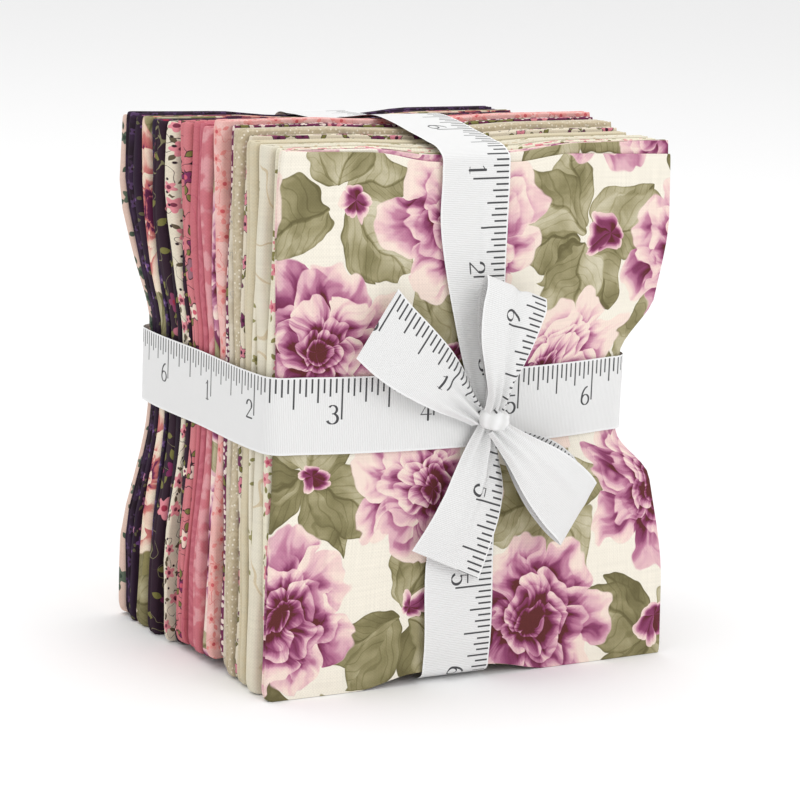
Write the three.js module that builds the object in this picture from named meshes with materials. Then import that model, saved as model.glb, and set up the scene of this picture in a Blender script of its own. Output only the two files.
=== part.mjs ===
// Fat quarter bundle: twenty-four folded cotton packets stood on edge, tied with one ribbon and a bow.
// Millimetres, +Z up. The front packet faces -Y, and every packet turns its round fold to -X.
import * as THREE from "three";

// The stack. A fat quarter is 457 x 559, folded four by four, so a packet is a quarter of each.
const PACKET_WIDTH = 114;
const PACKET_HEIGHT = 140;
const STACK_DEPTH = 93;
const PACKET_GAP = 0.3; // between neighbouring packets
const PASS_GAP = 0.22; // between the three passes of one packet
const STACK_AT = new THREE.Vector2(-3.171, 4.0015); // the stack's middle, seen from the middle of the footprint

// What the ribbon does to the stack.
const WAIST_Z = 73; // middle of the level run
const WAIST_FADE = 42; // height over which the faces and folds come back out
const WAIST_FADE_RIGHT = 15; // the loose right ends spring back sooner
const FACE_DRAW = 8.5; // the waist's corners lie this far behind its middle
const FACE_CROWN = 0.5; // the same at head and foot, away from the ribbon
const REAR_SPLAY = 5; // the rear folds lean back this far at the head
const SPLAY_HEIGHTS = [84, 100]; // where they start to lean and where they are fully back
const FOLD_DRAW = 2.3; // how far the folds on the left are pulled in
const WAIST_ROUND = 2.5; // the outer packets are pulled in further, which rounds the stack's corners
const ROUND_POWER = 6; // keeps that to the outer three or four
const WAIST_RIGHT = 51.5; // where the right ends lie, flush under the ribbon
const RIGHT_FLARE = 5.4; // the right ends splay this far from head to foot
const BULGE_HEIGHT = 14; // the ends are out again this far above and below the ribbon
const UPRIGHT_X = -2; // middle of the run over head and foot
const NIP_FLAT = 11; // half the level bottom of the dent that the upright run leaves in the edges
const NIP_REACH = 30; // and how far the dent reaches to each side
const HEAD_NIP = 0.7; // its depth
const FOOT_NIP = 2;
const HEAD_EDGE_NIP = 1.8; // what it adds at the front and rear packets
const FOOT_EDGE_NIP = 1.2;
const EDGE_POWER = 8; // keeps that to the outer two or three

// Round corners of a packet, and how far its fold differs in thickness from its body.
const CORNER = 3.2;
const CORNER_HEIGHT = 4;
const FOLD_REACH = 29;
const TURN = [0.27, 0.73]; // points round the half turn of a fold, as shares of it
const FRONT_PASS = [0.6, 0.66]; // shares of a packet's depth between which its front pass begins

// The ribbon.
const RIBBON_WIDTH = 20;
const RIBBON_THICKNESS = 1;
const RIBBON_GAP = 0.3; // off the cloth and off its own runs
const KNOT = new THREE.Vector3(2.2, -52.4, 69.6);
const KNOT_HALF = new THREE.Vector3(4.6, 4.1, 5);

// Packets from rear to front. foldTop and foldLow are the thickness of the fold at head and foot before
// the stack is pressed to its depth, out is how far the fold stands proud, right is how far the loose end
// does, lift raises the packet off the surface, tall adds to its height and slant lowers the right corner
// of the front pass.
const PACKETS = [
  { cloth: "blush", foldTop: 3.5, foldLow: 4.6, out: 0.5, right: -3.0, lift: 0.9, tall: 0.0, slant: 0 },
  { cloth: "plum", foldTop: 7.0, foldLow: 3.4, out: 0.8, right: -3.0, lift: 0.8, tall: 0.0, slant: 0 },
  { cloth: "plum", foldTop: 3.8, foldLow: 3.4, out: 0.2, right: -2.5, lift: 0.0, tall: 0.4, slant: 0 },
  { cloth: "plum", foldTop: 4.7, foldLow: 7.0, out: 0.5, right: -1.0, lift: 0.0, tall: 0.6, slant: 0 },
  { cloth: "plum", foldTop: 3.2, foldLow: 2.0, out: -1.2, right: -2.0, lift: 0.3, tall: 0.0, slant: 0 },
  { cloth: "plum", foldTop: 7.0, foldLow: 7.0, out: 0.8, right: -3.0, lift: 0.0, tall: 0.6, slant: 0 },
  { cloth: "plum", foldTop: 2.0, foldLow: 5.0, out: -1.0, right: -2.0, lift: 0.0, tall: 0.6, slant: 0 },
  { cloth: "cream", foldTop: 6.2, foldLow: 1.9, out: 0.6, right: -4.0, lift: 0.5, tall: 0.6, slant: 0 },
  { cloth: "plum", foldTop: 1.9, foldLow: 4.5, out: -1.6, right: -2.0, lift: 0.4, tall: 1.2, slant: 0 },
  { cloth: "pink", foldTop: 7.0, foldLow: 4.1, out: 0.4, right: -3.0, lift: 1.8, tall: 0.4, slant: 0 },
  { cloth: "pink", foldTop: 4.2, foldLow: 2.2, out: -0.2, right: -2.0, lift: 2.1, tall: 0.5, slant: 0 },
  { cloth: "pink", foldTop: 3.0, foldLow: 4.9, out: 0.2, right: -3.0, lift: 2.0, tall: 0.6, slant: 0 },
  { cloth: "pink", foldTop: 5.6, foldLow: 3.5, out: 0.5, right: -2.5, lift: 1.8, tall: 0.4, slant: 0 },
  { cloth: "cream", foldTop: 2.2, foldLow: 6.1, out: -0.8, right: -1.5, lift: 1.8, tall: 1.2, slant: 0 },
  { cloth: "blush", foldTop: 5.8, foldLow: 3.5, out: 0.9, right: -2.0, lift: 2.8, tall: 2.0, slant: 0 },
  { cloth: "pink", foldTop: 1.9, foldLow: 3.4, out: -1.4, right: -3.0, lift: 3.0, tall: 0.8, slant: 0 },
  { cloth: "beige", foldTop: 2.9, foldLow: 3.4, out: -0.6, right: -2.0, lift: 1.5, tall: 1.8, slant: 0 },
  { cloth: "beige", foldTop: 5.0, foldLow: 4.2, out: 0.3, right: -2.5, lift: 0.6, tall: 2.9, slant: 0 },
  { cloth: "cream", foldTop: 2.8, foldLow: 2.9, out: -1.4, right: -3.0, lift: 0.6, tall: 1.7, slant: 0 },
  { cloth: "cream", foldTop: 5.0, foldLow: 4.6, out: 0.4, right: -2.5, lift: 0.6, tall: 0.9, slant: 0 },
  { cloth: "cream", foldTop: 1.9, foldLow: 1.9, out: -1.5, right: -3.5, lift: 0.4, tall: 0.6, slant: 0 },
  { cloth: "cream", foldTop: 5.9, foldLow: 5.6, out: 0.8, right: -0.6, lift: 0.3, tall: 1.0, slant: 0 },
  { cloth: "cream", foldTop: 4.8, foldLow: 2.8, out: -1.3, right: 0.2, lift: 0.0, tall: 1.0, slant: 0.5 },
  { cloth: "floral", foldTop: 3.4, foldLow: 4.0, out: -0.2, right: 1.6, lift: 0.0, tall: 1.0, slant: 3.5 },
];

const CLOTHS = {
  floral: { color: 0xe6dccf, roughness: 0.9 },
  cream: { color: 0xe1dcc8, roughness: 0.9 },
  blush: { color: 0xebbcb6, roughness: 0.9 },
  beige: { color: 0xd7c8af, roughness: 0.9 },
  pink: { color: 0xd77887, roughness: 0.9 },
  plum: { color: 0x2d192d, roughness: 0.92 },
  ribbon: { color: 0xeeeeee, roughness: 0.7 },
};

// Levels of a packet from foot to head. base names what the level is measured from, up is its height over
// that, ends is how far the corners have come out and nip is the share of the ribbon's dent it takes.
const LEVELS = [
  { base: "foot", up: 0, ends: 0, nip: 1 },
  { base: "foot", up: CORNER_HEIGHT, ends: 1, nip: 1 },
  { base: "waist", up: -RIBBON_WIDTH / 2 - BULGE_HEIGHT, ends: 1, nip: 0 },
  { base: "waist", up: -RIBBON_WIDTH / 2, ends: 1, nip: 0 },
  { base: "waist", up: RIBBON_WIDTH / 2, ends: 1, nip: 0 },
  { base: "waist", up: RIBBON_WIDTH / 2 + BULGE_HEIGHT, ends: 1, nip: 0 },
  { base: "head", up: -CORNER_HEIGHT, ends: 1, nip: 1 },
  { base: "head", up: 0, ends: 0.6, nip: 1 },
];

const { clamp, lerp, smoothstep, degToRad } = THREE.MathUtils;

// How hard the level run pulls at a height: 1 under the ribbon, 0 beyond fade.
function waistPull(z, fade) {
  const away = Math.max(0, Math.abs(z - WAIST_Z) - RIBBON_WIDTH / 2);
  return 1 - smoothstep(away, 0, fade);
}

// Share of the stack's depth in front of a packet's rear boundary, from 0 at the rear to 1 at the front.
// In the body all packets are alike, and at the folds each has its own thickness.
function shareOfDepth(boundary, x, z) {
  const even = boundary / PACKETS.length;
  const head = clamp(z / PACKET_HEIGHT, 0, 1);
  const thickness = (packet) => lerp(packet.foldLow, packet.foldTop, head);
  const sum = (rows) => rows.reduce((total, row) => total + thickness(row), 0);
  const folded = sum(PACKETS.slice(0, boundary)) / sum(PACKETS);
  const nearFold = clamp((x + PACKET_WIDTH / 2) / FOLD_REACH, 0, 1);
  return lerp(folded, even, nearFold);
}

// Y of a share of the depth: the rear is at +Y. Ribbon and loose cloth bow the outer faces, and above the
// ribbon the rear folds lean back.
function depthAt(share, x, z) {
  const side = 1 - 2 * share;
  const draw = lerp(FACE_CROWN, FACE_DRAW, waistPull(z, WAIST_FADE));
  const fromMiddle = x / (PACKET_WIDTH / 2);
  const splay = REAR_SPLAY * (1 - share) * smoothstep(z, ...SPLAY_HEIGHTS);
  const nearFold = clamp(-fromMiddle, 0, 1);
  return side * (STACK_DEPTH / 2 - draw * fromMiddle * fromMiddle) + splay * Math.pow(nearFold, 3);
}

// X of a packet's fold and of its loose end.
function cornerDraw(index) {
  const side = 1 - (2 * index + 1) / PACKETS.length;
  return WAIST_ROUND * Math.pow(Math.abs(side), ROUND_POWER);
}

function foldX(packet, index, z) {
  const pull = waistPull(z, WAIST_FADE);
  return -PACKET_WIDTH / 2 - packet.out * (1 - pull) + (FOLD_DRAW + cornerDraw(index)) * pull;
}

function looseX(packet, index, z) {
  const pull = waistPull(z, WAIST_FADE_RIGHT);
  const flare = RIGHT_FLARE * (1 - z / PACKET_HEIGHT);
  return lerp(PACKET_WIDTH / 2 + packet.right + flare, WAIST_RIGHT - cornerDraw(index), pull);
}

// Height of a level at x: the upright run lifts the foot and presses down the head.
function levelZ(packet, index, level, x, share) {
  const side = 1 - (2 * (index + share)) / PACKETS.length;
  const dent = clamp((NIP_REACH - Math.abs(x - UPRIGHT_X)) / (NIP_REACH - NIP_FLAT), 0, 1);
  const edge = Math.pow(Math.abs(side), EDGE_POWER);
  if (level.base === "waist") return WAIST_Z + level.up;
  if (level.base === "foot") {
    const rise = Math.max(0, FOOT_NIP + FOOT_EDGE_NIP * edge - packet.lift);
    return packet.lift + level.up + rise * dent * level.nip;
  }
  const fall = (HEAD_NIP + HEAD_EDGE_NIP * edge) * dent;
  const slant = packet.slant * smoothstep(share, ...FRONT_PASS) * (x / PACKET_WIDTH + 0.5);
  return PACKET_HEIGHT + packet.lift + packet.tall + level.up - (fall + slant) * level.nip;
}

// One level's outline of a packet: a back-and-forth section of three passes. The front pass turns round the
// fold on the left into the rear pass, and that turns at the right into a middle pass tucked between them.
// The sheet's outer side comes first, then its inner side on the way back.
function packetRing(packet, index, level) {
  const z0 = levelZ(packet, index, level, PACKET_WIDTH / 2, 0.5);
  const left = foldX(packet, index, z0) + CORNER * (1 - level.ends);
  const right = looseX(packet, index, z0) - (CORNER / 3) * (1 - level.ends);
  const room = (x) => {
    const rear = depthAt(shareOfDepth(index, x, z0), x, z0) - PACKET_GAP / 2;
    const front = depthAt(shareOfDepth(index + 1, x, z0), x, z0) + PACKET_GAP / 2;
    return { rear, front, pass: (rear - front - 2 * PASS_GAP) / 3 };
  };
  const at = (x, passes, gaps) => {
    const { rear, front, pass } = room(x);
    const y = front + passes * pass + gaps * PASS_GAP;
    const share = 1 - (y - front) / (rear - front);
    return new THREE.Vector3(x, y, levelZ(packet, index, level, x, share));
  };
  const breaks = [NIP_REACH, NIP_FLAT, -NIP_FLAT, -NIP_REACH].map((dx) => UPRIGHT_X + dx);
  const leftward = (passes, gaps, from, to) => [from, ...breaks, to].map((x) => at(x, passes, gaps));
  const rightward = (passes, gaps, from, to) => leftward(passes, gaps, to, from).reverse();
  const bend = (room(left).rear - room(left).front) / 2;
  const tuck = 1.5 * room(right).pass;
  const turn = (inset) => TURN.map((part) => {
    const reach = bend - inset;
    const middle = at(left + bend - reach * Math.sin(Math.PI * part), 1.5, 1);
    middle.y -= reach * Math.cos(Math.PI * part);
    return middle;
  });
  const start = right - PASS_GAP;
  const outer = [
    ...leftward(0, 0, start, left + bend),
    ...turn(0),
    ...rightward(3, 2, left + bend, right - tuck),
    at(right, 2, 1.5),
    ...leftward(1, 1, right - tuck, left + 2 * bend),
  ];
  const inner = [
    ...leftward(1, 0, start, left + bend),
    ...turn(room(left).pass),
    ...rightward(2, 2, left + bend, right - tuck),
    at(right - 0.6 * tuck, 2, 1.5),
    ...leftward(2, 1, right - tuck, left + 2 * bend),
  ];
  return [...outer, ...inner.reverse()];
}

// A closed solid through rings of equal point count. Each ring runs anticlockwise seen from the last ring,
// down one side of a sheet and back along the other, so that its end faces are strips between the two.
// Diagonals all lean the same way, which keeps neighbouring faces parallel.
function loft(rings, endless = false) {
  const count = rings[0].length;
  const points = rings.flat();
  const faces = [];
  const spans = endless ? rings.length : rings.length - 1;
  for (let i = 0; i < spans; i += 1) {
    const here = i * count;
    const next = ((i + 1) % rings.length) * count;
    for (let j = 0; j < count; j += 1) {
      const k = (j + 1) % count;
      const [a, b, c, d] = [here + j, here + k, next + k, next + j];
      if (points[a].x < points[b].x) faces.push([a, b, c], [a, c, d]);
      else faces.push([a, b, d], [b, c, d]);
    }
  }
  const last = (rings.length - 1) * count;
  for (let j = 0; !endless && j < count / 2 - 1; j += 1) {
    const [a, b, c, d] = [j, j + 1, count - 2 - j, count - 1 - j];
    faces.push([c, b, a], [d, c, a]);
    faces.push([last + a, last + b, last + c], [last + a, last + c, last + d]);
  }
  const geometry = new THREE.BufferGeometry().setFromPoints(points);
  geometry.setIndex(faces.flat());
  geometry.computeVertexNormals();
  return geometry;
}

function piece(name, cloth, geometry) {
  const mesh = new THREE.Mesh(geometry, new THREE.MeshStandardMaterial({ ...CLOTHS[cloth], metalness: 0 }));
  mesh.name = name;
  return mesh;
}

function foldedPacket(packet, index) {
  const rings = LEVELS.map((level) => packetRing(packet, index, level).reverse());
  return piece(`packet_${String(index + 1).padStart(2, "0")}`, packet.cloth, loft(rings));
}

// A length of ribbon through stations { at, across, width, cup }. at is the middle of the ribbon, across
// points along its width and cup raises its middle. The outer side faces along the route's direction
// crossed with across.
function ribbonRun(name, stations, { endless = false, steps = 1 } = {}) {
  const half = RIBBON_THICKNESS / 2;
  const count = stations.length;
  const step = (i) => stations[endless ? (i + count) % count : clamp(i, 0, count - 1)].at;
  const spread = Array.from({ length: steps + 1 }, (_, j) => (2 * j) / steps - 1);
  const rings = stations.map(({ across, at, width, cup }, i) => {
    const ahead = step(i + 1).clone().sub(step(i - 1)).normalize();
    const out = new THREE.Vector3().crossVectors(ahead, across).normalize();
    const place = (u, off) => at.clone()
      .addScaledVector(across, (u * width) / 2)
      .addScaledVector(out, cup * (1 - u * u) + off);
    const inner = spread.map((u) => place(u, -half));
    const outer = spread.map((u) => place(u, half)).reverse();
    return [...inner, ...outer];
  });
  return piece(name, "ribbon", loft(rings, endless));
}

// The level run: round the four sides of the stack, over its drawn-in faces and flush ends.
function waistRun() {
  const off = RIBBON_GAP + RIBBON_THICKNESS / 2;
  const cornerRound = 5;
  const left = FOLD_DRAW - PACKET_WIDTH / 2;
  const faceX = (part) => lerp(left + cornerRound, WAIST_RIGHT - cornerRound, part);
  const faceY = (x, share) => depthAt(share, x, WAIST_Z);
  const face = (share, parts) => parts.map((part) => {
    const x = faceX(part);
    return [x, faceY(x, share) + (share === 1 ? -off : off)];
  });
  const side = (x, outward, parts) => parts.map((part) => {
    const reach = faceY(x - outward * cornerRound, 0) - cornerRound;
    return [x + outward * off, lerp(-reach, reach, part)];
  });
  const corner = (x, outward, share, angles) => angles.map((angle) => {
    const middle = x - outward * cornerRound;
    const rearward = share === 1 ? -1 : 1;
    const y = faceY(middle, share) - rearward * cornerRound;
    const reach = cornerRound + off;
    return [
      middle + outward * reach * Math.cos(degToRad(angle)),
      y + rearward * reach * Math.sin(degToRad(angle)),
    ];
  });
  const parts = [0, 0.12, 0.25, 0.38, 0.5, 0.62, 0.75, 0.88, 1];
  const route = [
    ...face(1, parts),
    ...corner(WAIST_RIGHT, 1, 1, [60, 30]),
    ...side(WAIST_RIGHT, 1, [0, 0.5, 1]),
    ...corner(WAIST_RIGHT, 1, 0, [30, 60]),
    ...face(0, [...parts].reverse()),
    ...corner(left, -1, 0, [60, 30]),
    ...side(left, -1, [1, 0.5, 0]),
    ...corner(left, -1, 1, [30, 60]),
  ];
  const across = new THREE.Vector3(0, 0, 1);
  const stations = route.map(([x, y]) => (
    { at: new THREE.Vector3(x, y, WAIST_Z), across, width: RIBBON_WIDTH, cup: 0 }
  ));
  return ribbonRun("ribbon_waist", stations, { endless: true });
}

// The upright run: from the knot up the front, over the head, down the rear, under the foot and back.
// Its middle is at x, y, z, and it is gathered to a few millimetres where the knot grips it.
const UPRIGHT = [
  { x: 1.6, y: -49.0, z: 75.6, width: 6.5 },
  { x: -0.2, y: -48.9, z: 86.0, width: 14 },
  { x: -1.6, y: -47.7, z: 97.0, width: 18.5 },
  { x: -2.0, y: -47.5, z: 112.0, width: 20 },
  { x: -2.0, y: -47.5, z: 135.0, width: 20 },
  { x: -2.0, y: -47.1, z: 138.6, width: 20 },
  { x: -2.0, y: -45.0, z: 140.3, width: 20 },
  { x: -2.0, y: -38.0, z: 141.8, width: 20 },
  { x: -2.0, y: -30.0, z: 143.0, width: 20 },
  { x: -2.0, y: -21.0, z: 144.4, width: 20 },
  { x: -2.0, y: -10.0, z: 145.2, width: 20 },
  { x: -2.0, y: 0.0, z: 144.5, width: 20 },
  { x: -2.0, y: 20.0, z: 142.5, width: 20 },
  { x: -2.0, y: 38.0, z: 141.0, width: 20 },
  { x: -2.0, y: 45.0, z: 140.3, width: 20 },
  { x: -2.0, y: 47.1, z: 138.6, width: 20 },
  { x: -2.0, y: 47.5, z: 135.0, width: 20 },
  { x: -2.0, y: 47.5, z: 97.0, width: 20 },
  { x: -2.0, y: 48.8, z: 86.0, width: 20 },
  { x: -2.0, y: 48.8, z: 60.0, width: 20 },
  { x: -2.0, y: 47.5, z: 49.0, width: 20 },
  { x: -2.0, y: 47.5, z: 5.5, width: 20 },
  { x: -2.0, y: 46.9, z: 2.6, width: 20 },
  { x: -2.0, y: 45.0, z: 1.3, width: 20 },
  { x: -2.0, y: 38.0, z: 0.9, width: 20 },
  { x: -2.0, y: -38.0, z: 0.9, width: 20 },
  { x: -2.0, y: -45.0, z: 1.3, width: 20 },
  { x: -2.0, y: -46.9, z: 2.6, width: 20 },
  { x: -2.0, y: -47.5, z: 5.5, width: 20 },
  { x: -2.0, y: -47.5, z: 36.0, width: 20 },
  { x: -1.4, y: -47.7, z: 45.0, width: 18.5 },
  { x: 0.6, y: -48.9, z: 54.5, width: 14 },
  { x: 2.0, y: -49.0, z: 63.6, width: 6.5 },
];

function uprightRun() {
  const across = new THREE.Vector3(-1, 0, 0);
  const stations = UPRIGHT.map(({ x, y, z, width }) => ({ at: new THREE.Vector3(x, y, z), across, width, cup: 0 }));
  return ribbonRun("ribbon_upright", stations);
}

// The bow's four arms. heading is the way an arm leaves the knot, in degrees from +X towards +Z. Along it,
// each row gives the distance from the knot's middle, the height over the face, the ribbon's width, a shift
// to its left and a turn of its edge in degrees. A loop comes back behind itself.
const ARMS = [
  {
    name: "ribbon_tail_upper", heading: 140.5, rows: [
      { along: 5.8, over: 1.9, width: 6.5, shift: 0.4, turn: 0, cup: 0.6 },
      { along: 11, over: 2.6, width: 13.5, shift: 0.6, turn: 0, cup: 0.9 },
      { along: 20, over: 3.2, width: 19, shift: 1.4, turn: 2, cup: 0.6 },
      { along: 30, over: 2.9, width: 20, shift: 1.0, turn: 4, cup: 0.2 },
      { along: 38, over: 2.2, width: 20.4, shift: 0.2, turn: 6, cup: 0 },
      { along: 43, over: 1.6, width: 20.6, shift: -0.6, turn: 6, cup: 0 },
    ],
  },
  {
    name: "ribbon_tail_lower", heading: -107.6, rows: [
      { along: 5.8, over: 1.9, width: 6.5, shift: 0, turn: 0, cup: 0.6 },
      { along: 11, over: 2.4, width: 11, shift: 0.4, turn: 0, cup: 0.9 },
      { along: 20, over: 2.8, width: 16.5, shift: 0.6, turn: -2, cup: 0.9 },
      { along: 28, over: 2.6, width: 19.5, shift: 1.0, turn: -4, cup: 0.5 },
      { along: 38.2, over: 1.8, width: 22.5, shift: 1.6, turn: -7, cup: 0.2 },
    ],
  },
  {
    name: "ribbon_loop_upper", heading: 79.7, rows: [
      { along: 5.8, over: 6.4, width: 6.5, shift: 0, turn: 0, cup: 0.5 },
      { along: 11, over: 8.2, width: 11, shift: 0.5, turn: 0, cup: 1.2 },
      { along: 20, over: 9.0, width: 16.5, shift: 1.0, turn: -4, cup: 1.0 },
      { along: 29, over: 8.0, width: 19, shift: 0.9, turn: -8, cup: 0.4 },
      { along: 34.5, over: 6.6, width: 19.5, shift: 0.8, turn: -11, cup: 0 },
      { along: 36.4, over: 5.0, width: 19.5, shift: 0.8, turn: -11, cup: 0 },
      { along: 34.8, over: 3.6, width: 19.5, shift: 0.8, turn: -11, cup: 0 },
      { along: 27, over: 3.1, width: 18.5, shift: 0.6, turn: -8, cup: 0 },
      { along: 17, over: 3.9, width: 14.5, shift: 0.6, turn: -4, cup: 0 },
      { along: 9, over: 4.5, width: 8, shift: 0, turn: 0, cup: 0 },
      { along: 5.8, over: 4.4, width: 5.5, shift: 0, turn: 0, cup: 0 },
    ],
  },
  {
    name: "ribbon_loop_lower", heading: -42, rows: [
      { along: 5.8, over: 6.4, width: 6.5, shift: 0, turn: 0, cup: 0.5 },
      { along: 11, over: 8.2, width: 11, shift: 0, turn: 0, cup: 1.2 },
      { along: 20, over: 9.0, width: 16, shift: -0.4, turn: 3, cup: 1.0 },
      { along: 29, over: 8.0, width: 18.6, shift: -0.4, turn: 6, cup: 0.4 },
      { along: 36.4, over: 6.4, width: 19, shift: -0.4, turn: 9, cup: 0 },
      { along: 38.4, over: 4.8, width: 19, shift: -0.4, turn: 9, cup: 0 },
      { along: 36.8, over: 3.4, width: 19, shift: -0.4, turn: 9, cup: 0 },
      { along: 28, over: 2.9, width: 18.6, shift: 0.1, turn: 7, cup: 0 },
      { along: 18, over: 3.8, width: 14.5, shift: 0.2, turn: 4, cup: 0 },
      { along: 9, over: 4.5, width: 8, shift: 0, turn: 0, cup: 0 },
      { along: 5.8, over: 4.4, width: 5.5, shift: 0, turn: 0, cup: 0 },
    ],
  },
];
const BOW_FACE_Y = -48.1; // the plane that the arms rise from, just clear of the level run

function bowArm({ name, heading, rows }) {
  const angle = degToRad(heading);
  const forward = new THREE.Vector3(Math.cos(angle), 0, Math.sin(angle));
  const leftHand = new THREE.Vector3(-Math.sin(angle), 0, Math.cos(angle));
  const stations = rows.map(({ along, over, width, shift, turn, cup }) => {
    const at = new THREE.Vector3(KNOT.x, BOW_FACE_Y - over, KNOT.z)
      .addScaledVector(forward, along)
      .addScaledVector(leftHand, shift);
    const across = leftHand.clone().applyAxisAngle(new THREE.Vector3(0, -1, 0), degToRad(turn));
    return { at, across, width, cup };
  });
  return ribbonRun(name, stations, { steps: 4 });
}

// The knot: a short, tight barrel of ribbon, pleated round and narrower at its two ends.
function knot() {
  const levels = [-1, -0.8, -0.4, 0, 0.4, 0.8, 1];
  const around = 14;
  const pleat = 0.05;
  const flattened = 0.45; // share of the full girth that is left at the very ends
  const tilt = degToRad(-18);
  const rings = levels.map((level) => Array.from({ length: around }, (_, j) => {
    const angle = (2 * Math.PI * j) / around;
    const girth = lerp(flattened, 1, Math.sqrt(1 - level * level)) * (1 + pleat * Math.cos(7 * angle));
    return new THREE.Vector3(
      KNOT_HALF.x * girth * Math.cos(angle),
      KNOT_HALF.y * girth * Math.sin(angle),
      KNOT_HALF.z * level,
    ).applyAxisAngle(new THREE.Vector3(0, 1, 0), tilt).add(KNOT);
  }));
  return piece("ribbon_knot", "ribbon", loft(rings));
}

const bundle = new THREE.Group();
bundle.name = "fat_quarter_bundle";
bundle.add(...PACKETS.map(foldedPacket));
bundle.add(waistRun(), uprightRun(), knot(), ...ARMS.map(bowArm));
bundle.position.set(STACK_AT.x, STACK_AT.y, 0);

export default bundle;
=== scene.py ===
"""A fat quarter bundle: folded pieces of printed cotton, stood on edge and tied with a ruler ribbon."""
import math
import bpy
import numpy as np
from mathutils import Matrix, Vector


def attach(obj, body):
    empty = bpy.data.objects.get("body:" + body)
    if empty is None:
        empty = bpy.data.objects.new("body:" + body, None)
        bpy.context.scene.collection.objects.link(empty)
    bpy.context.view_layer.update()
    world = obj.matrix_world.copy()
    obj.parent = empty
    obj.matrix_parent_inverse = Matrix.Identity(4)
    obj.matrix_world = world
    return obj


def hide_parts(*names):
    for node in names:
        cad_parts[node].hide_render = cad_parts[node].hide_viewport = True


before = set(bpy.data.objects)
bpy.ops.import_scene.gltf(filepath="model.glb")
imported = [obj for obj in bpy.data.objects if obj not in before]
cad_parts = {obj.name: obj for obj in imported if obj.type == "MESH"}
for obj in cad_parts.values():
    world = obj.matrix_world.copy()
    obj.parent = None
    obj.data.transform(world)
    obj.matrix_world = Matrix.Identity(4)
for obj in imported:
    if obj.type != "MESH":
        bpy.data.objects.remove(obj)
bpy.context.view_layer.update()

# ---------------------------------------------------------------------------------------------------------
# The camera: a long lens, a little above the bundle and round to its folded side.
camera_turn, camera_rise, camera_roll = (math.radians(a) for a in (-29.8, 11.5, 2.2))
camera_place = Vector((-0.3971, -0.6930, 0.2291))
away = Vector((
    math.sin(camera_turn) * math.cos(camera_rise),
    -math.cos(camera_turn) * math.cos(camera_rise),
    math.sin(camera_rise),
))
sideways = Vector((math.cos(camera_turn), math.sin(camera_turn), 0))
upward = away.cross(sideways)
right = math.cos(camera_roll) * sideways + math.sin(camera_roll) * upward
up = away.cross(right)
camera = bpy.data.objects.new("camera", bpy.data.cameras.new("camera"))
camera.data.lens, camera.data.sensor_width = 135, 36
camera.data.clip_end = 20
camera.matrix_world = Matrix.Translation(camera_place) @ Matrix((right, up, away)).transposed().to_4x4()
bpy.context.scene.collection.objects.link(camera)
bpy.context.scene.camera = camera

# The studio: a white sweep, white air all round, a soft lamp over the camera's right shoulder and a broad,
# weak one overhead.
bpy.context.scene.view_settings.view_transform = "Standard"
world = bpy.data.worlds.new("white air")
world.use_nodes = True
world.node_tree.nodes["Background"].inputs["Color"].default_value = (1.0, 1.0, 1.0, 1.0)
world.node_tree.nodes["Background"].inputs["Strength"].default_value = 0.87
bpy.context.scene.world = world


def lamp(name, place, width, power, target=(0, 0, 0.07)):
    light = bpy.data.objects.new(name, bpy.data.lights.new(name, "AREA"))
    light.data.shape, light.data.size, light.data.energy = "DISK", width, power
    light.location = place
    light.rotation_euler = (Vector(target) - Vector(place)).to_track_quat("-Z", "Y").to_euler()
    bpy.context.scene.collection.objects.link(light)


lamp("key", (0.35, -1.3, 0.9), 0.8, 3.6)
lamp("top", (-0.1, 0.2, 1.6), 1.4, 8)

floor_mesh = bpy.data.meshes.new("floor")
floor_mesh.from_pydata([(-4, -4, 0), (4, -4, 0), (4, 4, 0), (-4, 4, 0)], [], [(0, 1, 2, 3)])
floor = bpy.data.objects.new("floor", floor_mesh)
floor_paint = bpy.data.materials.new("white sweep")
floor_paint.use_nodes = True
floor_paint.node_tree.nodes["Principled BSDF"].inputs["Base Color"].default_value = (0.96, 0.96, 0.96, 1)
floor_paint.node_tree.nodes["Principled BSDF"].inputs["Roughness"].default_value = 0.9
floor_paint.node_tree.nodes["Principled BSDF"].inputs["Specular IOR Level"].default_value = 0.1
floor.data.materials.append(floor_paint)
bpy.context.scene.collection.objects.link(floor)

# ---------------------------------------------------------------------------------------------------------
# The stack: twenty-four packets, from the rear one to the front one, each a fat quarter of quilting cotton
# folded four by four and stood on edge. The tie draws the stack in at its waist and dents its head and foot.
# Sizes are in millimetres.
MM = 0.001
PACKET_WIDTH, PACKET_HEIGHT, STACK_DEPTH = 114, 140, 93
PACKET_GAP = 0.3
STACK_AT = (-3.171, 4.0015)  # middle of the stack, so that the tied bundle's footprint is centred
WAIST_Z, RIBBON_WIDTH = 73, 20
WAIST_FADE, WAIST_FADE_RIGHT = 42, 15  # above and below the ribbon, to where its pull has died away
FACE_DRAW, FACE_CROWN, FOLD_DRAW = 8.5, 0.5, 2.3  # faces drawn in at the waist and free of it, and the folds
WAIST_RIGHT, RIGHT_FLARE = 51.5, 5.4  # loose ends at the waist, and how far they splay from head to foot
WAIST_ROUND, ROUND_POWER = 2.5, 6  # the ribbon rounds off the stack's corners
REAR_SPLAY, SPLAY_HEIGHTS = 5, (84, 100)  # the rear folds lean back at the head
UPRIGHT_X, NIP_FLAT, NIP_REACH = -2, 11, 30  # the upright ribbon, and how wide it dents head and foot
HEAD_NIP, FOOT_NIP, HEAD_EDGE_NIP, FOOT_EDGE_NIP, EDGE_POWER = 0.7, 2, 1.8, 1.2, 8  # and how deep
CORNER, HEAD_CORNER, CORNER_HEIGHT = 1.6, 0.3, 4  # a fold's rounded corners at foot and head
FOLD_REACH = 29  # where the packets' uneven folds have evened out
FRONT_PASS = (0.7, 0.78)  # share of a packet's thickness at which its front plies begin
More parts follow.
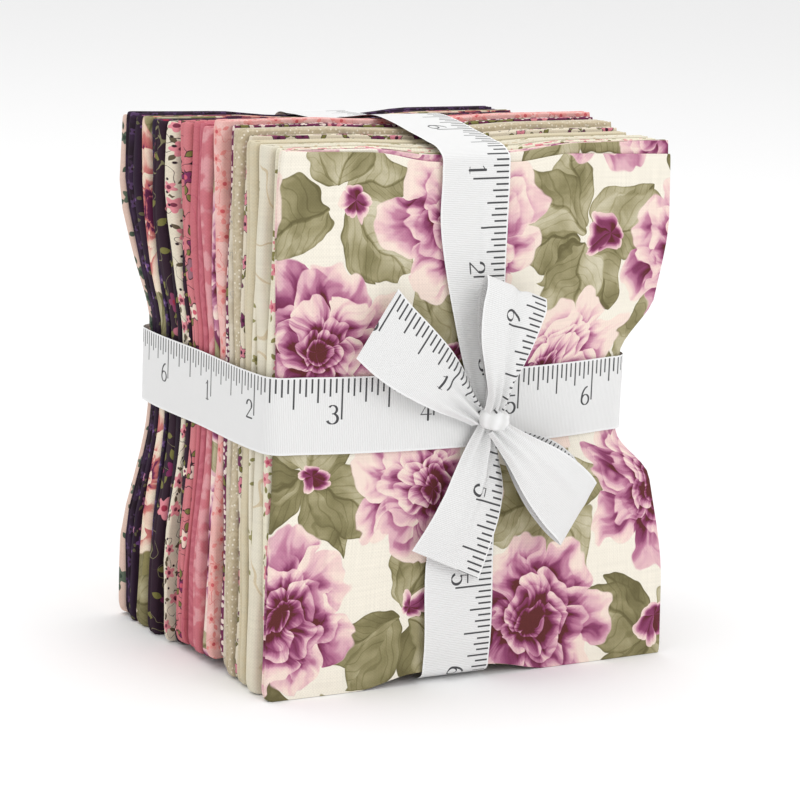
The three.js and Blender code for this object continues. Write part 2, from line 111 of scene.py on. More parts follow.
FOLD_WANDER, DEPTH_WANDER, WANDER_FADE = 0.45, 0.3, 30

# top and low are a fold's thickness at head and foot before the stack is pressed together, out and ends are
# how far the fold and the loose end stand proud, lift raises the packet, tall adds to its height, slant
# lowers the right corner of its head, and groove is how deep the fold is creased along its middle.
COLUMNS = ("top", "low", "out", "ends", "lift", "tall", "slant", "groove")
PACKETS = [dict(zip(COLUMNS, row)) for row in (
    (3.5, 4.6, 0.5, -3.0, 0.9, -1.4, 0, 0.0),
    (7.0, 3.4, 0.8, -3.0, 0.8, 0.0, 0, 0.7),
    (3.8, 3.4, 0.2, -2.5, 0.0, 0.4, 0, 0.0),
    (4.7, 7.0, 0.5, -1.0, 0.0, 0.6, 0, 0.3),
    (3.2, 2.0, -1.2, -2.0, 0.3, 0.0, 0, 0.0),
    (7.0, 7.0, 0.8, -3.0, 0.0, 0.6, 0, 0.4),
    (2.0, 5.0, -1.0, -2.0, 0.0, 0.6, 0, 0.0),
    (6.2, 1.9, 0.6, -4.0, 0.5, 0.6, 0, 0.0),
    (1.9, 4.5, -1.6, -2.0, 0.4, 1.2, 0, 0.0),
    (7.0, 4.1, 0.4, -3.0, 1.8, 0.4, 0, 0.5),
    (4.2, 2.2, -0.2, -2.0, 2.1, 0.5, 0, 0.0),
    (3.0, 4.9, 0.2, -3.0, 2.0, 0.6, 0, 0.0),
    (5.6, 3.5, 0.5, -2.5, 1.8, 0.4, 0, 0.3),
    (2.2, 6.1, -0.8, -1.5, 1.8, 1.2, 0, 0.0),
    (5.8, 3.5, 0.9, -2.0, 2.8, 2.0, 0, 0.0),
    (1.9, 3.4, -2.3, -3.0, 3.0, 0.8, 0, 0.0),
    (2.9, 3.4, -0.6, -2.0, 1.5, 1.8, 0, 0.0),
    (5.0, 4.2, 0.3, -2.5, 0.6, 2.9, 0, 0.5),
    (2.8, 2.9, -1.4, -3.0, 0.6, 1.7, 0, 0.0),
    (5.0, 4.6, 0.4, -2.5, 0.6, 0.9, 0, 0.7),
    (1.9, 1.9, -1.5, -3.5, 0.4, 0.6, 0, 0.0),
    (5.9, 5.6, 0.8, -0.6, 0.3, 1.0, 0, 0.0),
    (4.8, 2.8, -1.3, 0.2, 0.0, 1.0, 0.5, 0.8),
    (3.4, 4.0, -0.2, 1.6, 0.0, 1.0, 3.5, 0.6),
)]
COUNT = len(PACKETS)


def blend_to(a, b, share):
    return a + (b - a) * share


def soft_step(value, start, end):
    share = np.clip((value - start) / (end - start), 0, 1)
    return share * share * (3 - 2 * share)


def waist_pull(z, fade):
    return 1 - soft_step(np.maximum(0, abs(z - WAIST_Z) - RIBBON_WIDTH / 2), 0, fade)


def share_of_depth(boundary, x, z):
    """Share of the depth behind a boundary between packets: even in the body, uneven at the folds."""
    head = np.clip(z / PACKET_HEIGHT, 0, 1)
    low = np.cumsum([0] + [p["low"] for p in PACKETS])
    top = np.cumsum([0] + [p["top"] for p in PACKETS])
    folded = blend_to(low[boundary], top[boundary], head) / blend_to(low[-1], top[-1], head)
    near_body = np.clip((x + PACKET_WIDTH / 2) / FOLD_REACH, 0, 1)
    return blend_to(folded, boundary / COUNT, near_body)


def depth_at(share, x, z):
    """Y of a share of the depth, with the drawn-in waist, the splayed rear folds and a slight wander."""
    draw = blend_to(FACE_CROWN, FACE_DRAW, waist_pull(z, WAIST_FADE))
    from_middle = x / (PACKET_WIDTH / 2)
    near_fold = np.clip(-from_middle, 0, 1)
    splay = REAR_SPLAY * (1 - share) * soft_step(z, *SPLAY_HEIGHTS) * near_fold ** 3
    free = 1 - waist_pull(z, WANDER_FADE)
    inside = np.clip(12 * share * (1 - share), 0, 1)
    wander = np.sin(52 * share + z / 31) + np.sin(37 * share - z / 19 + x / 23)
    return ((1 - 2 * share) * (STACK_DEPTH / 2 - draw * from_middle ** 2) + splay
            + DEPTH_WANDER * wander * free * inside)


def height_at(packet, index, x, share, climb):
    """Z of a share of a packet's height: the tie lifts its foot and presses down its head."""
    flat = packet["lift"] + (PACKET_HEIGHT + packet["tall"]) * climb
    side = 1 - 2 * (index + share) / COUNT
    edge = abs(side) ** EDGE_POWER
    dent = 1 - soft_step(abs(x - UPRIGHT_X), NIP_FLAT, NIP_REACH)
    pushed_up = np.maximum(0, FOOT_NIP + FOOT_EDGE_NIP * edge - packet["lift"]) * dent
    pressed_down = (HEAD_NIP + HEAD_EDGE_NIP * edge) * dent
    slant = packet["slant"] * soft_step(share, *FRONT_PASS) * (x / PACKET_WIDTH + 0.5)
    return flat + pushed_up * (1 - soft_step(flat, 4, 49)) - (pressed_down + slant) * soft_step(flat, 97, 136)


# Folding: a fat quarter is folded in half and half again to its height, and the strip of four plies is then
# folded in half and half again to its width, so that a round fold of sixteen plies faces -X.
CUT_WIDTH, CUT_HEIGHT = 457, 559
PLY = 0.92 / 16  # pitch of the plies, as a share of the packet's thickness
OUTER_ROOM, INNER_ROOM, LOOSE_ROOM, INNER_LOOSE_ROOM = 0.42, 0.8, 0.25, 0.12  # for the turns, in thicknesses
LEAST_HEIGHT = 0.1  # of the lowest ply over the table
GROOVE_AT, GROOVE_WIDTH, GROOVE_GAIN = 0.45, 0.09, 1.5
STATIONS, FRONT_STATIONS = 22, 44  # across a packet: the front one shows its whole face
HEIGHT_STOPS = (0, 0.3, 0.8, 1.6, 2.6, 4.2, 8, 14, 22, 31, 40, 47, 52, 56, 60, 64, 70, 76,
                82, 86, 90, 94, 99, 106, 114, 122, 129, 134, 136.6, 138.2, 139.2, 139.7, 140)


def half_turn(points):
    return math.pi * np.arange(1, points + 1) / (points + 1)


def down_the_strip(climbs):
    """Rows of a fat quarter from one cut edge to the other: share of the height, ply and lift in plies."""
    rows = [(c, 1.5, 0) for c in climbs]
    rows += [(1, 1.5 * math.cos(a), 1.5 * math.sin(a)) for a in half_turn(5)]
    rows += [(c, -1.5, 0) for c in climbs[::-1]]
    rows += [(0, -1 - 0.5 * math.cos(a), -0.5 * math.sin(a)) for a in half_turn(3)]
    rows += [(c, -0.5, 0) for c in climbs]
    rows += [(1, -0.5 * math.cos(a), 0.5 * math.sin(a)) for a in half_turn(3)]
    rows += [(c, 0.5, 0) for c in climbs[::-1]]
    return np.array(rows).T[:, :, None]


def round_the_packet(fine):
    """Stations of the strip from its free end at the front: share of the way from fold to loose end, room
    left for the turn at each end, then X and depth of the turn, and which way the printed side faces."""
    across, inner = np.linspace(0, 1, fine), np.linspace(0, 1, 16)
    path = [(f, OUTER_ROOM, 0, 0, 7 / 8, 0, 1) for f in across[::-1]]
    for a in half_turn(21):
        bulge, squared = -0.3 * math.sin(a) ** 0.6, math.copysign(abs(math.cos(a)) ** 0.8, math.cos(a))
        path.append((0, OUTER_ROOM, 0, bulge, 0.5 + 0.375 * squared, -math.sin(a), math.cos(a)))
    path += [(f, OUTER_ROOM, LOOSE_ROOM, 0, 1 / 8, 0, -1) for f in across]
    path += [(1, 0.5, LOOSE_ROOM, 0.125 * math.sin(a), 0.25 - 0.125 * math.cos(a), math.sin(a), -math.cos(a))
             for a in half_turn(5)]
    path += [(f, INNER_ROOM, LOOSE_ROOM, 0, 3 / 8, 0, 1) for f in inner[::-1]]
    path += [(0, INNER_ROOM, LOOSE_ROOM, -0.125 * math.sin(a), 0.5 - 0.125 * math.cos(a), math.sin(a),
              math.cos(a)) for a in half_turn(5)]
    path += [(f, INNER_ROOM, INNER_LOOSE_ROOM, 0, 5 / 8, 0, -1) for f in inner]
    return np.array(path).T[:, None, :]


def cloth_sheet(name, points, flat, flip=False):
    """A sheet through a grid of points. flat is where each point lies on the flat cloth: both in mm."""
    rows, columns = points.shape[:2]
    at = np.arange(rows * columns).reshape(rows, columns)
    a, b, c, d = at[:-1, :-1], at[1:, :-1], at[1:, 1:], at[:-1, 1:]
    faces = np.stack((a, d, c, b) if flip else (a, b, c, d), -1).reshape(-1, 4)
    mesh = bpy.data.meshes.new(name)
    mesh.vertices.add(rows * columns)
    mesh.vertices.foreach_set("co", ((points + (*STACK_AT, 0)) * MM).astype(np.float32).ravel())
    mesh.loops.add(faces.size)
    mesh.loops.foreach_set("vertex_index", faces.astype(np.int32).ravel())
    mesh.polygons.add(len(faces))
    mesh.polygons.foreach_set("loop_start", np.arange(0, faces.size, 4, dtype=np.int32))
    mesh.polygons.foreach_set("use_smooth", np.ones(len(faces), bool))
    mesh.update(calc_edges=True)
    mesh.uv_layers.new(name="cloth").uv.foreach_set(
        "vector", flat.reshape(-1, 2)[faces.ravel()].astype(np.float32).ravel())
    piece = bpy.data.objects.new(name, mesh)
    bpy.context.scene.collection.objects.link(piece)
    return piece


def folded_packet(number, cloth, slot, fine):
    """One fat quarter, folded into its place in the stack and clad in its cloth."""
    index, packet = number - 1, PACKETS[number - 1]
    stops = np.array(HEIGHT_STOPS)
    if fine == FRONT_STATIONS:
        count = len(HEIGHT_STOPS)
        stops = np.interp(np.linspace(0, 1, 2 * count - 1), np.linspace(0, 1, count), HEIGHT_STOPS)
    climb, ply, lift = down_the_strip(stops / PACKET_HEIGHT)
    f, left_room, right_room, turn_x, depth, face_x, face_depth = round_the_packet(fine)
    z = packet["lift"] + (PACKET_HEIGHT + packet["tall"]) * climb
    pull = waist_pull(z, WAIST_FADE)
    corner = np.clip((CORNER_HEIGHT - (z - z.min())) / CORNER_HEIGHT, 0, 1)
    head_corner = np.clip((CORNER_HEIGHT - (z.max() - z)) / CORNER_HEIGHT, 0, 1)
    inset = CORNER * (1 - np.sqrt(1 - corner ** 2)) + HEAD_CORNER * (1 - np.sqrt(1 - head_corner ** 2))
    wander = FOLD_WANDER * np.sin(z / 17 + 2.4 * number) + 0.5 * FOLD_WANDER * np.sin(z / 7.3 + 5.1 * number)
    corner_draw = WAIST_ROUND * abs(1 - (2 * index + 1) / COUNT) ** ROUND_POWER
    left = (-PACKET_WIDTH / 2 - (packet["out"] + wander) * (1 - pull) + (FOLD_DRAW + corner_draw) * pull
            + inset)
    loose = PACKET_WIDTH / 2 + packet["ends"] + RIGHT_FLARE * (1 - z / PACKET_HEIGHT)
    right_end = blend_to(loose, WAIST_RIGHT - corner_draw, waist_pull(z, WAIST_FADE_RIGHT)) - inset / 3

    def walls(x):
        rear = depth_at(share_of_depth(index, x, z), x, z) - PACKET_GAP / 2
        front = depth_at(share_of_depth(index + 1, x, z), x, z) + PACKET_GAP / 2
        return rear, front

    at_left, at_right = (rear - front for rear, front in (walls(left), walls(right_end)))
    along_groove = np.exp(-((depth - GROOVE_AT) / GROOVE_WIDTH) ** 2) * (face_x < -0.2)
    groove = GROOVE_GAIN * packet["groove"] * along_groove * (1 - pull)
    turn_size = np.where(f < 0.5, at_left, at_right)
    x = blend_to(left + left_room * at_left, right_end - right_room * at_right, f)
    x = x + (turn_x + face_x * ply * PLY) * turn_size + groove
    rear, front = walls(x)
    share = depth + face_depth * ply * PLY
    y = rear + (front - rear) * share
    thick = rear - front
    head_room = 1.5 * PLY * thick * soft_step(climb, 0.98, 1)
    z_place = height_at(packet, index, x, share, climb) - head_room + lift * PLY * thick
    points = np.stack(np.broadcast_arrays(x, y, np.maximum(z_place, LEAST_HEIGHT)), -1)
    middle_row, middle_column = len(stops) // 2, fine // 2
    u = np.concatenate(([0], np.cumsum(np.linalg.norm(np.diff(points[middle_row], axis=0), axis=1))))
    v = np.concatenate(([0], np.cumsum(np.linalg.norm(np.diff(points[:, middle_column], axis=0), axis=1))))
    u, v = CUT_WIDTH * (1 - u / u[-1]), CUT_HEIGHT * v / v[-1]
    piece = cloth_sheet(f"fat_quarter_{number:02d}", points, np.stack(np.meshgrid(u, v), -1))
    piece.data.materials.append(cloth)
    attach(piece, "root")
    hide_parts(f"packet_{number:02d}")


# ---------------------------------------------------------------------------------------------------------
# The cloths: printed plain-weave cotton. A print is worked out in millimetres over the flat cloth, so that it
# runs round the folds, and what one motif needs is a node group that the cloths share.
class Field:
    """A number that varies over the cloth, worked out by the nodes of the tree being made."""

    tree = None

    def __init__(self, socket):
        self.socket = socket

    def __add__(self, other):
        return work("ADD", self, other)

    def __sub__(self, other):
        return work("SUBTRACT", self, other)

    def __rsub__(self, other):
        return work("SUBTRACT", other, self)

    def __mul__(self, other):
        return work("MULTIPLY", self, other)

    def __truediv__(self, other):
        return work("DIVIDE", self, other)

    def __pow__(self, other):
        return work("POWER", self, other)

    def __abs__(self):
        return work("ABSOLUTE", self)

    __radd__, __rmul__ = __add__, __mul__


def fed(kind, inputs, **settings):
    """A new node, fed with fields or plain values: a tuple in the inputs' order, or a dict by name."""
    node = Field.tree.nodes.new("ShaderNode" + kind)
    for setting, value in settings.items():
        setattr(node, setting, value)
    for key, value in inputs.items() if isinstance(inputs, dict) else enumerate(inputs):
        if isinstance(value, Field):
            Field.tree.links.new(value.socket, node.inputs[key])
        else:
            node.inputs[key].default_value = value
    return node


def work(operation, *inputs):
    return Field(fed("Math", inputs, operation=operation).outputs[0])


def step(value, start, end):
    """0 before start, 1 past end and smooth between. With start over end it falls instead."""
    return Field(fed("MapRange", (value, start, end), interpolation_type="SMOOTHSTEP").outputs[0])


def either(a, b):
    return work("MAXIMUM", a, b)


def floor_of(value):
    return work("FLOOR", value)


def rest_of(value):
    return work("FRACT", value)


def together(x, y, z=0.0):
    return Field(fed("CombineXYZ", (x, y, z)).outputs[0])


def parts_of(vector):
    return [Field(socket) for socket in fed("SeparateXYZ", (vector,)).outputs]


def polar(x, y):
    return (x * x + y * y) ** 0.5, work("ARCTAN2", y, x)


def noise(vector, size, detail=1.0, space="2D"):
    node = fed("TexNoise", {"Vector": vector, "Scale": 1 / size, "Detail": detail}, noise_dimensions=space)
    return Field(node.outputs["Fac"]), Field(node.outputs["Color"])


def chance(vector):
    return parts_of(Field(fed("TexWhiteNoise", {"Vector": vector}, noise_dimensions="2D").outputs["Color"]))


def between(share, a, b):
    """Colours or colour fields mixed by a share."""
    node = fed("Mix", {0: share, 6: a, 7: b}, data_type="RGBA")
    return Field(node.outputs[2])


def amount(share, a, b):
    return Field(fed("Mix", {0: share, 2: a, 3: b}, data_type="FLOAT").outputs[0])


def ink(red, green, blue):
    """A colour given as it looks on a screen, 0 to 255."""
    return tuple((c / 255 / 12.92 if c < 11 else ((c / 255 + 0.055) / 1.055) ** 2.4)
                 for c in (red, green, blue)) + (1.0,)


def shades(value, stops):
    node = fed("ValToRGB", (value,))
    ramp = node.color_ramp
    while len(ramp.elements) < len(stops):
        ramp.elements.new(1.0)
    for element, (place, colour) in zip(ramp.elements, stops):
        element.position, element.color = place, ink(*colour)
    return Field(node.outputs[0])


def motif(name, inputs, outputs):
    """A node group made by the function below, which takes its inputs as fields and returns its outputs."""
    def made(draw):
        group = bpy.data.node_groups.new(name, "ShaderNodeTree")
        for label in inputs:
            group.interface.new_socket(label, in_out="INPUT", socket_type="NodeSocketFloat")
        for label in outputs:
            kind = "NodeSocketColor" if label.endswith("colour") else "NodeSocketFloat"
            group.interface.new_socket(label, in_out="OUTPUT", socket_type=kind)
        outer, Field.tree = Field.tree, group
        drawn = draw(*(Field(socket) for socket in group.nodes.new("NodeGroupInput").outputs[:-1]))
        end = group.nodes.new("NodeGroupOutput")
        for socket, field in zip(end.inputs, drawn):
            group.links.new(field.socket, socket)
        Field.tree = outer

        def use(*values):
            node = Field.tree.nodes.new("ShaderNodeGroup")
            node.node_tree = group
            for socket, value in zip(node.inputs, values):
                if isinstance(value, Field):
                    Field.tree.links.new(value.socket, socket)
                else:
                    socket.default_value = value
            return [Field(socket) for socket in node.outputs]
        return use
    return made


@motif("petal ring", ("radius", "angle", "petals", "reach", "turn"), ("petal", "tone"))
def petal_ring(radius, angle, petals, reach, turn):
    """Petals round a centre. The tone runs from dark at the base to light at the rim, one side in shade."""
    turned = angle * petals / (2 * math.pi) + turn
    aside = rest_of(turned) * 2 - 1
    own = chance(together(floor_of(turned), turn * 7 + petals))
    rim = reach * (0.84 + 0.18 * own[0]) * (1 - 0.22 * abs(aside) ** 2.4 - 0.05 * step(abs(aside), 0.22, 0))
    along = radius / rim
    tone = (step(along, 0.5, 1.0) + 0.4 * (own[1] - 0.5) - 0.34 * step(aside, 0.1, -1)
            + 0.1 * step(aside, 0.5, 0.9))
    return step(along, 1.02, 0.99), tone


@motif("leaf spray", ("radius", "angle", "leaves", "turn", "middle", "half", "width"), ("leaf", "tone"))
def leaf_spray(radius, angle, leaves, turn, middle, half, width):
    """Leaves that point away from a centre, with a midrib, side veins and one half in shade."""
    turned = angle * leaves / (2 * math.pi) + turn
    own = chance(together(floor_of(turned), turn * 5 + leaves))
    swing = (rest_of(turned) - 0.5 + 0.3 * (own[0] - 0.5)) * (2 * math.pi) / leaves
    along = (radius * work("COSINE", swing) - middle) / (half * (0.8 + 0.3 * own[1]))
    aside = radius * work("SINE", swing) + width * 0.25 * (along * along - 0.4) * (own[2] - 0.5)
    edge = width * either(1 - along * along, 0.0) ** 0.75 * (1 - 0.28 * along)
    vein = abs(rest_of((along * half - abs(aside)) / (half * 0.24)) - 0.5)
    tone = (0.42 + 0.4 * (own[2] - 0.3) + 0.22 * step(aside, -0.02 * width, 0.02 * width)
            - 0.16 * step(vein, 0.12, 0.02) - 0.35 * step(abs(aside), 0.08 * width, 0.02 * width)
            - 0.25 * step(edge - abs(aside), 0.14 * width, 0))
    return step(edge - abs(aside), -0.02, 0.03 * width), tone


@motif("large flowers", ("x", "y"), ("petal", "petal tone", "leaf", "leaf tone"))
def large_flowers(x, y):
    """Full blooms on a slanting lattice, with sprays of leaves and a small blossom in the spaces."""
    pitch, slope = 51, math.radians(38)
    inner_rings = ((7, 0.82, 0.24, 0.66), (6, 0.64, 0.2, 0.66), (5, 0.47, 0.18, 0.62), (4, 0.32, 0.17, 0.56),
                   (3, 0.18, 0.1, 0.5))  # petals, reach, and the tone's base and gain
    wave = parts_of(noise(together(x, y), 11, 1.5)[1])
    x, y = x + 9 * (wave[0] - 0.5), y + 9 * (wave[1] - 0.5)
    u = (x * math.cos(slope) + y * math.sin(slope)) / pitch
    v = (y * math.cos(slope) - x * math.sin(slope)) / pitch
    own = chance(together(floor_of(u), floor_of(v)))
    side = (rest_of(u) - 0.5 + 0.08 * (own[0] - 0.5)) * pitch
    rise = (rest_of(v) - 0.5 + 0.08 * (own[1] - 0.5)) * pitch
    radius, angle = polar(side, rise)
    radius = radius / (23 + 3 * own[2])
    streak = noise(together(side / radius / 6, rise / radius / 6, radius * 2.6), 1, 3, "3D")[0]
    turned = angle + own[2] * 9
    petal, tone = petal_ring(radius, turned, 7, 1.0, own[0])
    tone = 0.3 + 0.62 * tone
    turns = (own[1], own[0] + 0.4, own[1] + 0.7, own[0], own[1])
    for (petals, reach, base, gain), turn in zip(inner_rings, turns):
        over, inner_tone = petal_ring(radius, turned, petals, reach, turn)
        tone = amount(over, tone, base + gain * inner_tone)
    tone = tone - 0.18 + 1.2 * (streak - 0.5) + 0.34 * (own[1] - 0.45)
    space = chance(together(floor_of(u + 0.5), floor_of(v + 0.5) + 40))
    side, rise = (rest_of(u + 0.5) - 0.5) * pitch, (rest_of(v + 0.5) - 0.5) * pitch
    radius, angle = polar(side, rise)
    leaf, leaf_tone = leaf_spray(radius, angle, 3, space[0], 15.5, 14.5, 9)
    low_leaf, low_tone = leaf_spray(radius, angle, 4, space[1], 13, 11, 6.5)
    leaf, leaf_tone = either(leaf, low_leaf), amount(leaf, low_tone - 0.12, leaf_tone)
    side, rise = side - 9 * (space[1] - 0.3), rise + 8 * (space[2] - 0.3)
    radius, angle = polar(side, rise)
    leaf_tone = leaf_tone - 0.08 + 1.1 * (streak - 0.5) + 0.6 * (wave[2] - 0.5)
    blossom, blossom_tone = petal_ring(radius, angle, 5, 4.5 + 3 * space[0], space[2])
    tone = amount(petal, 0.12 + 0.6 * blossom_tone, tone)
    return either(petal, blossom), tone, leaf, leaf_tone


@motif("posy", ("x", "y", "pitch"), ("petal", "eye", "leaf", "outline", "own"))
def posy(x, y, pitch):
    """Small five-petalled blossoms, each with three leaves, scattered a pitch apart."""
    cells = fed("TexVoronoi", {"Vector": together(x / pitch, y / pitch), "Randomness": 0.55, "Scale": 1.0},
                voronoi_dimensions="2D")
    own = parts_of(Field(cells.outputs["Color"]))
    middle = parts_of(Field(cells.outputs["Position"]))
    radius, angle = polar(x / pitch - middle[0], y / pitch - middle[1])
    turned = angle + own[0] * 6.3
    rim = (0.2 + 0.12 * own[1]) * (0.8 + 0.2 * work("COSINE", turned * 5))
    swing = (rest_of(turned * 3 / (2 * math.pi)) - 0.5) * 2 * math.pi / 3
    along = (radius * work("COSINE", swing) - 0.37) / 0.14
    aside = abs(radius * work("SINE", swing))
    blade = 0.075 * either(1 - along * along, 0.0) - aside
    petal = step(radius, rim, rim - 0.02)
    outline = either(step(radius, rim + 0.035, rim + 0.02) * (1 - petal), step(blade, -0.03, -0.015))
    return petal, step(radius, 0.085, 0.06), step(blade, -0.005, 0.01), outline, own[2]


@motif("twigs", ("x", "y", "size", "width"), ("line", "tone"))
def twigs(x, y, size, width):
    """Wandering thin lines, and a soft cloudy tone between them."""
    wave, colour = noise(together(x / size, y / size), 1, 1.5)
    tone = parts_of(colour)[1]
    return step(abs(wave - 0.5), 0.022 * width, 0.012 * width), tone


@motif("dots", ("x", "y", "pitch", "size"), ("dot",))
def dots(x, y, pitch, size):
    """Round dots, loosely scattered a pitch apart."""
    cells = fed("TexVoronoi", {"Vector": together(x / pitch, y / pitch), "Randomness": 0.7, "Scale": 1.0},
                voronoi_dimensions="2D")
    return (step(Field(cells.outputs["Distance"]), size, size - 0.06),)


@motif("scroll", ("x", "y", "size"), ("band",))
def scroll(x, y, size):
    """Curling bands, as a tone-on-tone print has them."""
    wave = noise(together(x / size, y / size), 1, 0.8)[0]
    return (step(work("SINE", wave * 34), -0.3, 0.3),)


@motif("plain weave", ("x", "y"), ("tone", "height"))
def plain_weave(x, y):
    """Threads over and under, each a little uneven in thickness: the tone paints light on threads lying over
    and shade on those dipping under, and gives the uneven threads a random tone.
    """
    thread_pitch = 0.42
    uneven = noise(together(x / 14, y * 2.4), 1, 1)[0] + noise(together(x * 2.4, y / 14), 1, 1)[0]
    over = work("SINE", x * (math.pi / thread_pitch)) * work("SINE", y * (math.pi / thread_pitch))
    # Painted light and shade: the over-and-under term lightens and darkens the colour with the threads'
    # relief; the uneven term is a random tone.
    return 1 + 0.045 * over + 0.12 * (uneven - 1), over * 0.5 + uneven


def cotton(name, ground, print_layers):
    """A printed cotton. print_layers takes the place on the cloth and the ground, and returns the colour."""
    paint = bpy.data.materials.new(name)
    paint.use_nodes = True
    Field.tree = paint.node_tree
    x, y, _ = parts_of(Field(fed("UVMap", (), uv_map="cloth").outputs[0]))
    weave, height = plain_weave(x, y)
    colour = print_layers(x, y, ink(*ground))
    # The print is multiplied by the weave's tone, which carries painted light and shade of the threads'
    # relief as well as their random unevenness.
    shade = fed("Mix", {0: 1.0, 6: colour, 7: together(weave, weave, weave)}, data_type="RGBA",
                blend_type="MULTIPLY")
    bump = fed("Bump", {"Strength": 0.25, "Distance": 0.0001, "Height": height})
    cloth = paint.node_tree.nodes["Principled BSDF"]
    cloth.inputs["Roughness"].default_value = 0.86
    cloth.inputs["Specular IOR Level"].default_value = 0.25
    paint.node_tree.links.new(shade.outputs[2], cloth.inputs["Base Color"])
    paint.node_tree.links.new(bump.outputs[0], cloth.inputs["Normal"])
    return paint


# Inks of the large flowers, from their darkest tone to their lightest.
PETAL_SHADES = ((0.0, (94, 42, 42)), (0.08, (118, 48, 80)), (0.22, (140, 68, 106)), (0.3, (172, 104, 136)),
                (0.43, (194, 134, 158)), (0.5, (216, 170, 182)), (0.64, (232, 198, 196)),
                (0.78, (240, 220, 208)))
CORAL_SHADES = ((0.0, (84, 26, 60)), (0.22, (112, 42, 82)), (0.3, (186, 96, 100)), (0.5, (206, 128, 120)),
                (0.6, (232, 196, 178)), (0.8, (238, 222, 200)))
LEAF_SHADES = ((0.0, (104, 97, 64)), (0.3, (132, 125, 88)), (0.5, (156, 148, 112)), (0.75, (184, 176, 145)),
               (1.0, (208, 201, 176)))


def flowers_on(x, y, colour, petal_shades=PETAL_SHADES):
    petal, petal_tone, leaf, leaf_tone = large_flowers(x, y)
    colour = between(leaf, colour, shades(leaf_tone, LEAF_SHADES))
    return between(petal, colour, shades(petal_tone, petal_shades))


def posy_on(x, y, colour, pitch, petal, eye, leaf, outline):
    """petal is one ink, or two shared out among the blossoms, and outline may be None."""
    blossom, heart, blade, edge, own = posy(x, y, pitch)
    colour = between(edge, colour, ink(*outline)) if outline else colour
    colour = between(blade, colour, ink(*leaf))
    other = petal[1] if len(petal) == 2 and isinstance(petal[0], tuple) else petal
    first = petal[0] if isinstance(petal[0], tuple) else petal
    colour = between(blossom, colour, between(step(own, 0.45, 0.55), ink(*first), ink(*other)))
    return between(heart, colour, ink(*eye))


def twigs_on(x, y, colour, size, width, line):
    return between(twigs(x, y, size, width)[0], colour, ink(*line))


def clouds_on(x, y, colour, size, share, other):
    return between(step(twigs(x, y, size, 1)[1], 0.42, 0.6) * share, colour, ink(*other))


def scroll_on(x, y, colour, size, share, other):
    return between(scroll(x, y, size)[0] * share, colour, ink(*other))


def dots_on(x, y, colour, pitch, size, dot):
    return between(dots(x, y, pitch, size)[0], colour, ink(*dot))


BLACK, OLIVE, ROSE = (48, 30, 38), (122, 118, 66), (222, 140, 150)
# Every packet, from the rear: its colour slot, its ground and what is printed on that, layer by layer.
PRINTS = (
    ("blush", (218, 190, 176), (
        ("scroll", 9, 0.35, (214, 184, 168)),
        ("posy", 9, (92, 104, 88), (56, 70, 58), (74, 88, 72), None),
    )),
    ("plum", (36, 21, 33), (
        ("clouds", 6, 0.5, (66, 44, 76)),
        ("posy", 5, (80, 56, 92), BLACK, (58, 40, 60), None),
    )),
    ("plum", (44, 26, 46), (
        ("posy", 6.5, ((158, 96, 134), (104, 70, 126)), (226, 180, 172), (92, 88, 62), None),
    )),
    ("floral", (138, 130, 86), (("flowers", CORAL_SHADES),)),
    ("plum", (42, 26, 50), (("posy", 5, (86, 60, 106), (136, 110, 146), (62, 60, 52), None),)),
    ("plum", (48, 29, 43), (
        ("twigs", 8, 0.4, (128, 122, 92)),
        ("posy", 12, (ROSE, (120, 44, 86)), (160, 50, 72), OLIVE, None),
    )),
    ("plum", (40, 26, 40), (
        ("posy", 9, ((178, 138, 172), (200, 146, 164)), (96, 56, 84), OLIVE, BLACK),
    )),
    ("cream", (226, 216, 196), (
        ("twigs", 6, 0.4, BLACK),
        ("posy", 7.5, ROSE, (122, 52, 72), (96, 84, 66), None),
        ("dots", 3.6, 0.13, BLACK),
    )),
    ("plum", (48, 28, 44), (("posy", 6, (ROSE, (238, 224, 204)), (126, 48, 88), OLIVE, None),)),
    ("pink", (206, 124, 130), (
        ("twigs", 9, 0.35, BLACK),
        ("posy", 9, ((124, 50, 94), (238, 216, 200)), (206, 96, 114), OLIVE, BLACK),
    )),
    ("pink", (196, 108, 118), (("twigs", 8, 0.5, (190, 96, 112)),)),
    ("pink", (184, 96, 110), (("scroll", 7, 0.25, (218, 136, 146)),)),
    ("pink", (202, 118, 128), (("clouds", 4, 0.5, (232, 184, 186)),)),
    ("floral", (120, 54, 88), (("flowers",),)),
    ("blush", (229, 176, 170), (
        ("clouds", 6, 0.4, (244, 212, 206)),
        ("twigs", 6, 0.3, (214, 116, 116)),
        ("posy", 7, (230, 158, 152), (204, 92, 98), (224, 140, 136), None),
    )),
    ("plum", (112, 46, 82), (
        ("dots", 1.9, 0.36, (236, 220, 212)),
        ("posy", 13, (ROSE, OLIVE), (124, 54, 84), OLIVE, BLACK),
    )),
    ("beige", (198, 186, 164), (
        ("twigs", 5, 0.35, (160, 154, 146)),
        ("clouds", 5, 0.4, (230, 222, 208)),
    )),
    ("beige", (192, 178, 150), (
        ("scroll", 5, 0.3, (220, 208, 186)),
        ("dots", 1.7, 0.18, (232, 224, 208)),
    )),
    ("cream", (222, 212, 192), (
        ("posy", 7.5, ((212, 132, 148), (112, 46, 86)), (66, 30, 52), OLIVE, BLACK),
    )),
    ("cream", (210, 200, 174), (("scroll", 8, 0.35, (210, 196, 166)),)),
    ("cream", (228, 221, 202), (("posy", 7, (156, 150, 102), (114, 110, 64), (146, 142, 94), None),)),
    ("cream", (222, 216, 198), (
        ("twigs", 14, 0.9, (206, 190, 160)),
        ("clouds", 18, 0.25, (214, 202, 176)),
    )),
    ("cream", (231, 225, 204), (
        ("posy", 8, (ROSE, (224, 156, 160)), (182, 76, 100), (136, 132, 82), None),
    )),
    ("floral", (238, 232, 218), (("flowers",),)),
)
EFFECTS = {"flowers": flowers_on, "posy": posy_on, "twigs": twigs_on, "clouds": clouds_on,
           "scroll": scroll_on, "dots": dots_on}

